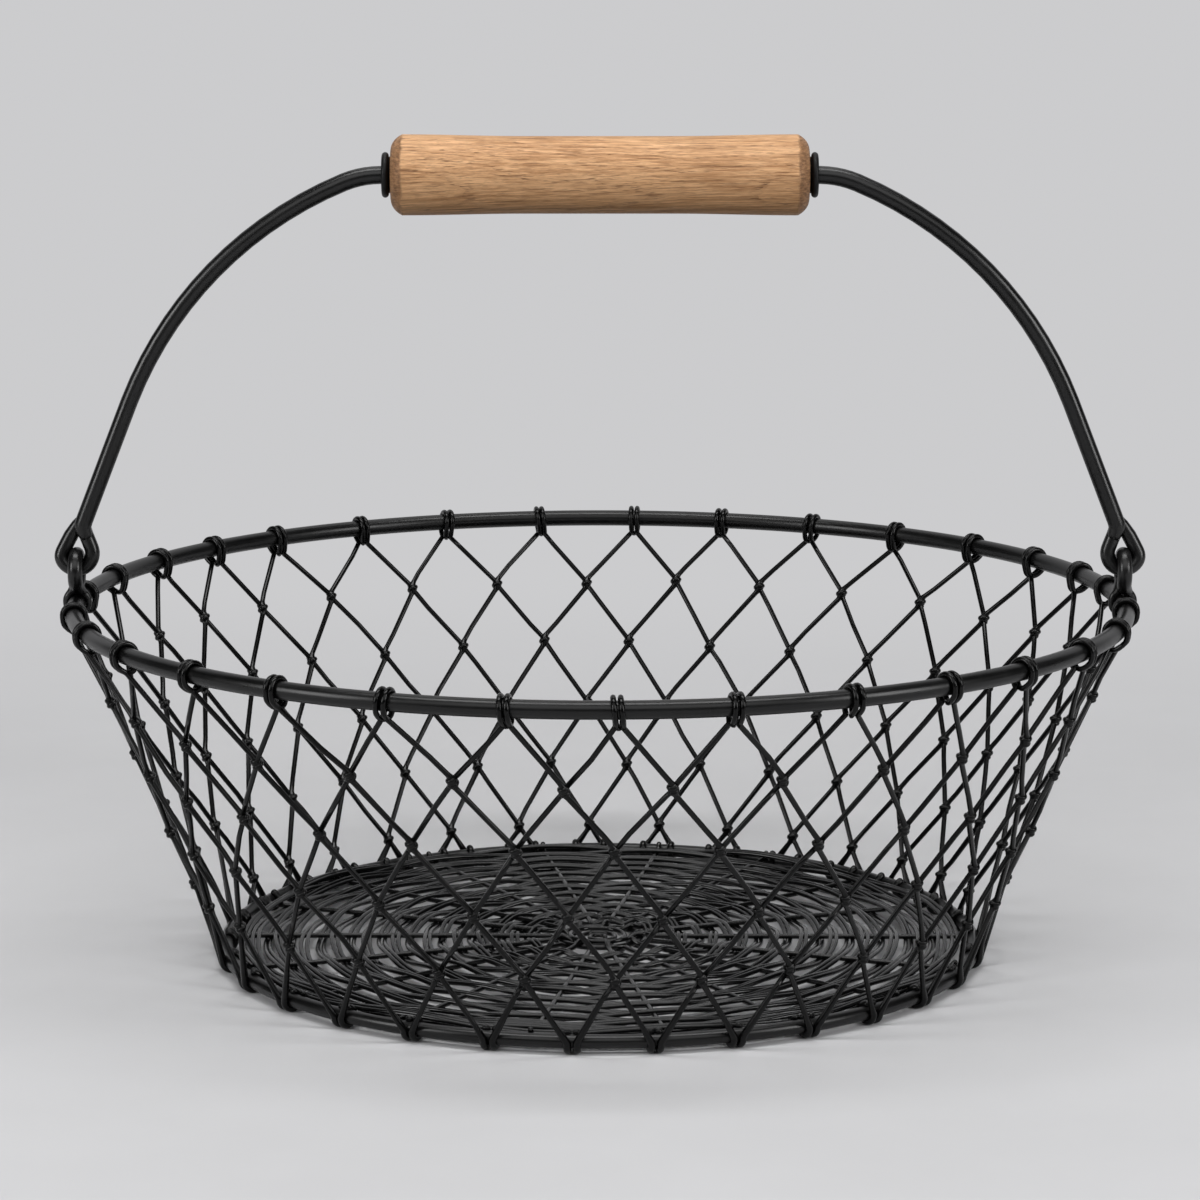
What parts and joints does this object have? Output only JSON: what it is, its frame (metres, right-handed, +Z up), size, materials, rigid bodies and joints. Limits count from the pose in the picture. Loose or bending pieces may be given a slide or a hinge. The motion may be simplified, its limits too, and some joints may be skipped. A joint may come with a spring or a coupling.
{
  "type": "wire basket",
  "caption": "Round tapered wire basket with a knotted diamond net wall, a woven wire floor, a swinging bail handle and a turned wooden grip.",
  "frame": {"origin": "centre of the footprint, on the surface that the basket stands on", "axes": "+Z up; +X towards the right ear; -Y is the front that the picture shows"},
  "size_m": [0.3048, 0.3003, 0.2303],
  "materials": {
    "ring_wire": "satin black coated steel wire",
    "net_wire": "satin black coated steel wire",
    "floor_wire": "satin black coated steel wire",
    "ear_wire": "satin black coated steel wire",
    "bail_wire": "satin black coated steel wire",
    "collar": "satin black collar",
    "oak": "oiled light oak, grain along the grip"
  },
  "bodies": {
    "basket": {"rim": "ring_wire", "base_ring": "ring_wire", "net_wire_01": "net_wire", "net_wire_02": "net_wire", "net_wire_03": "net_wire", "net_wire_04": "net_wire", "net_wire_05": "net_wire", "net_wire_06": "net_wire", "net_wire_07": "net_wire", "net_wire_08": "net_wire", "net_wire_09": "net_wire", "net_wire_10": "net_wire", "net_wire_11": "net_wire", "net_wire_12": "net_wire", "net_wire_13": "net_wire", "net_wire_14": "net_wire", "net_wire_15": "net_wire", "net_wire_16": "net_wire", "net_wire_17": "net_wire", "net_wire_18": "net_wire", "net_wire_19": "net_wire", "net_wire_20": "net_wire", "net_wire_21": "net_wire", "net_wire_22": "net_wire", "net_wire_23": "net_wire", "net_wire_24": "net_wire", "net_wire_25": "net_wire", "net_wire_26": "net_wire", "net_wire_27": "net_wire", "net_wire_28": "net_wire", "net_wire_29": "net_wire", "net_wire_30": "net_wire", "net_wire_31": "net_wire", "floor_hub": "floor_wire", "floor_spoke_1": "floor_wire", "floor_spoke_2": "floor_wire", "floor_spoke_3": "floor_wire", "floor_spoke_4": "floor_wire", "floor_spoke_5": "floor_wire", "floor_spoke_6": "floor_wire", "floor_spoke_7": "floor_wire", "floor_spoke_8": "floor_wire", "floor_spoke_9": "floor_wire", "floor_weaver_a": "floor_wire", "floor_weaver_b": "floor_wire", "ear_left": "ear_wire", "ear_right": "ear_wire"},
    "bail": {"bail": "bail_wire", "washer_left": "collar", "washer_right": "collar"},
    "grip": {"grip": "oak"}
  },
  "joints": [
    {"name": "bail_swing", "type": "hinge", "parent": "basket", "child": "bail", "pos_m": [0, 0, 0.10931], "axis": [1, 0, 0], "range_deg": [-100, 100]},
    {"name": "grip_turn", "type": "hinge", "parent": "bail", "child": "grip", "pos_m": [0, 0, 0.21921], "axis": [1, 0, 0], "continuous": true}
  ]
}
